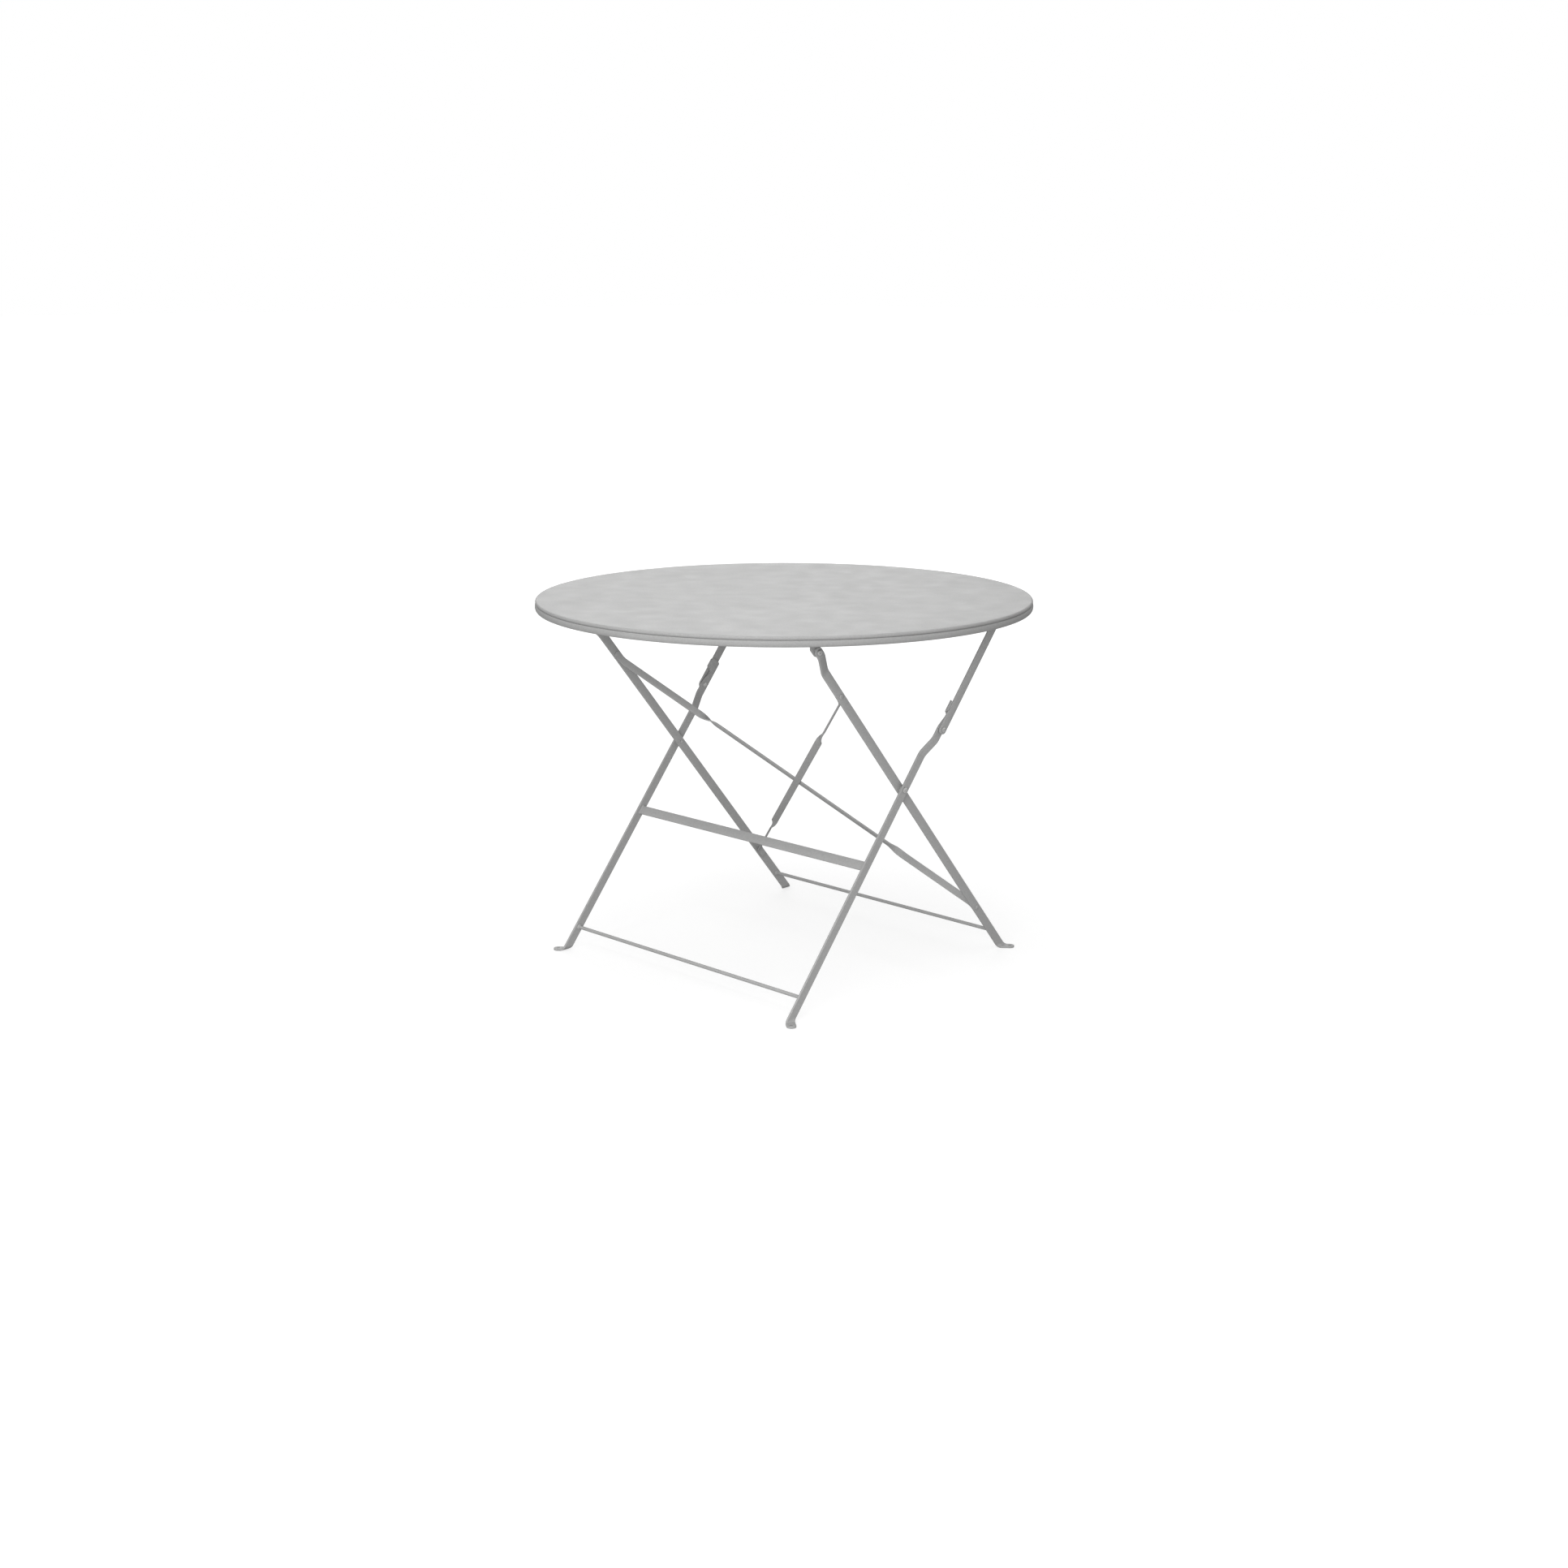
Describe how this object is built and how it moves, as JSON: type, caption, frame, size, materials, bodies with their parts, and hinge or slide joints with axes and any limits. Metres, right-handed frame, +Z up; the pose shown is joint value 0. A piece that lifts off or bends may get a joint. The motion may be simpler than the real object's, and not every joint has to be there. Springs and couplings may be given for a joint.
{
  "type": "folding bistro table",
  "caption": "Round steel cafe table whose pressed top sits on crossing flat-bar frames that fold flat against it on locking side struts.",
  "frame": {"origin": "on the floor under the middle of the round top, with the table standing open", "axes": "+Z up; +X from the left pair of legs to the right pair; +Y from the feet of frame B to the feet of frame A"},
  "size_m": [0.96, 0.96, 0.718],
  "materials": {
    "top_coat": "satin light grey powder coat",
    "frame_coat": "satin mid grey powder coat",
    "bright_steel": "zinc-plated rivets, bolts and washers"
  },
  "bodies": {
    "top": {"top_sheet": "top_coat", "rim_hoop": "top_coat", "top_rail_left": "frame_coat", "top_rail_right": "frame_coat", "bracket_a_left": "frame_coat", "bracket_a_right": "frame_coat", "bracket_b_left": "frame_coat", "bracket_b_right": "frame_coat", "hinge_washer_a_left": "bright_steel", "hinge_washer_a_right": "bright_steel", "hinge_bolt_a_left": "bright_steel", "hinge_bolt_a_right": "bright_steel", "hinge_nut_a_left": "bright_steel", "hinge_nut_a_right": "bright_steel", "hinge_washer_b_left": "bright_steel", "hinge_washer_b_right": "bright_steel", "hinge_bolt_b_left": "bright_steel", "hinge_bolt_b_right": "bright_steel", "hinge_nut_b_left": "bright_steel", "hinge_nut_b_right": "bright_steel"},
    "frame_a": {"leg_a_left": "frame_coat", "leg_a_right": "frame_coat", "low_rod_a": "frame_coat", "brace_front": "frame_coat", "brace_back": "frame_coat", "brace_rivet_upper_left": "frame_coat", "brace_rivet_upper_right": "frame_coat", "brace_rivet_lower_left": "frame_coat", "brace_rivet_lower_right": "frame_coat", "crossing_rivet_left": "bright_steel", "crossing_rivet_right": "bright_steel", "crossing_spacer_left": "bright_steel", "crossing_spacer_right": "bright_steel"},
    "frame_b": {"leg_b_left": "frame_coat", "leg_b_right": "frame_coat", "low_rod_b": "frame_coat", "crossbar_b": "frame_coat", "knee_rivet_tail_left": "bright_steel", "knee_rivet_tail_right": "bright_steel"},
    "strut_left": {"knee_strut_left": "frame_coat", "knee_rivet_head_left": "bright_steel"},
    "strut_right": {"knee_strut_right": "frame_coat", "knee_rivet_head_right": "bright_steel"}
  },
  "joints": [
    {"name": "crossing_hinge", "type": "hinge", "parent": "frame_a", "child": "frame_b", "pos_m": [0, 0.0025, 0.3825], "axis": [1, 0, 0], "range_deg": [0, 74]},
    {"name": "frame_a_hinge", "type": "hinge", "parent": "top", "child": "frame_a", "pos_m": [0, -0.24231, 0.6765], "axis": [1, 0, 0], "range_deg": [0, 42.3]},
    {"name": "strut_left_hinge", "type": "hinge", "parent": "top", "child": "strut_left", "pos_m": [0, 0.2463, 0.6765], "axis": [1, 0, 0], "range_deg": [-46.4, 0]},
    {"name": "strut_right_hinge", "type": "hinge", "parent": "top", "child": "strut_right", "pos_m": [0, 0.2463, 0.6765], "axis": [1, 0, 0], "range_deg": [-46.4, 0]}
  ],
  "couplings": [
    {"joint": "frame_a_hinge", "follows": "crossing_hinge", "ratio": 0.56987},
    {"joint": "strut_left_hinge", "follows": "crossing_hinge", "ratio": -0.6247},
    {"joint": "strut_right_hinge", "follows": "crossing_hinge", "ratio": -0.6247}
  ]
}
